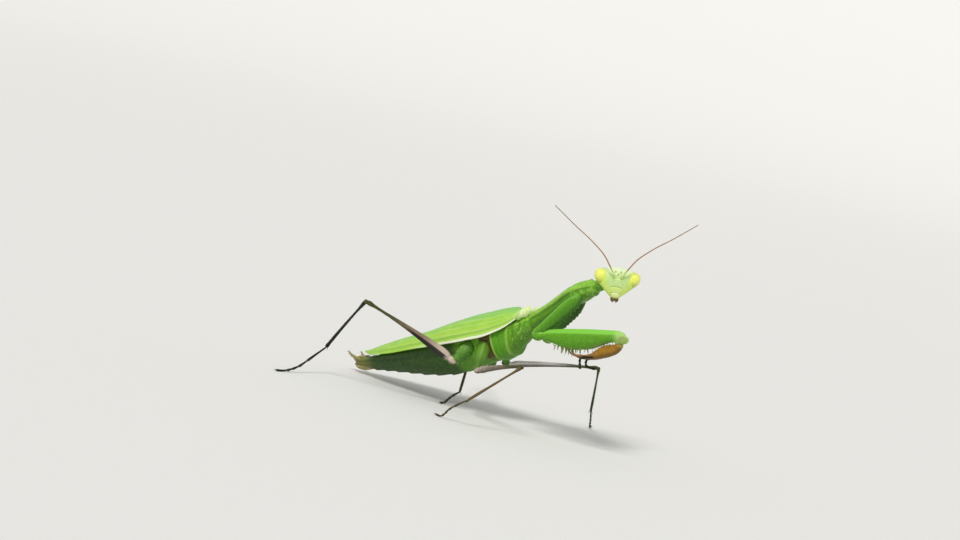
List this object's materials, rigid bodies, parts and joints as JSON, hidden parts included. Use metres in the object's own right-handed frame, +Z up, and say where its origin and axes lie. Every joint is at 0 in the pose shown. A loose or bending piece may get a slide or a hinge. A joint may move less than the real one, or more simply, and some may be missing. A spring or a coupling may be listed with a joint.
{
  "type": "praying mantis",
  "caption": "Adult female praying mantis standing with folded raptorial fore legs, wings closed over the back and the head turned to one side.",
  "frame": {"origin": "middle of the bounding box in plan, on the floor under the feet", "axes": "+X along the body from tail to head, +Y to the animal's left, +Z up"},
  "size_m": [0.0593, 0.0448, 0.0386],
  "materials": {
    "wing_green": "satin",
    "body_green": "satin",
    "fore_green": "satin",
    "abdomen_green": "satin",
    "head_mint": "satin",
    "eye_yellow": "gloss",
    "mouth_brown": "matte",
    "feeler_brown": "matte",
    "cercus_brown": "matte",
    "tibia_orange": "satin",
    "femur_pink": "satin",
    "leg_dark": "satin"
  },
  "bodies": {
    "root": {"abdomen": "abdomen_green", "antenna_left": "feeler_brown", "antenna_right": "feeler_brown", "cercus_left": "cercus_brown", "cercus_right": "cercus_brown", "eye_left": "eye_yellow", "eye_right": "eye_yellow", "fore_coxa_left": "fore_green", "fore_coxa_right": "fore_green", "fore_femur_left": "fore_green", "fore_femur_right": "fore_green", "fore_tarsus_left": "leg_dark", "fore_tarsus_right": "leg_dark", "fore_tibia_left": "tibia_orange", "fore_tibia_right": "tibia_orange", "head": "head_mint", "hind_coxa_left": "body_green", "hind_coxa_right": "body_green", "hind_femur_left": "femur_pink", "hind_femur_right": "femur_pink", "hind_tarsus_left": "leg_dark", "hind_tarsus_right": "leg_dark", "hind_tibia_left": "leg_dark", "hind_tibia_right": "leg_dark", "mid_coxa_left": "body_green", "mid_coxa_right": "body_green", "mid_femur_left": "femur_pink", "mid_femur_right": "femur_pink", "mid_tarsus_left": "leg_dark", "mid_tarsus_right": "leg_dark", "mid_tibia_left": "leg_dark", "mid_tibia_right": "leg_dark", "mouthparts": "mouth_brown", "neck": "body_green", "prothorax": "body_green", "pterothorax": "body_green", "tegmen_left": "wing_green", "tegmen_right": "wing_green"}
  },
  "joints": []
}
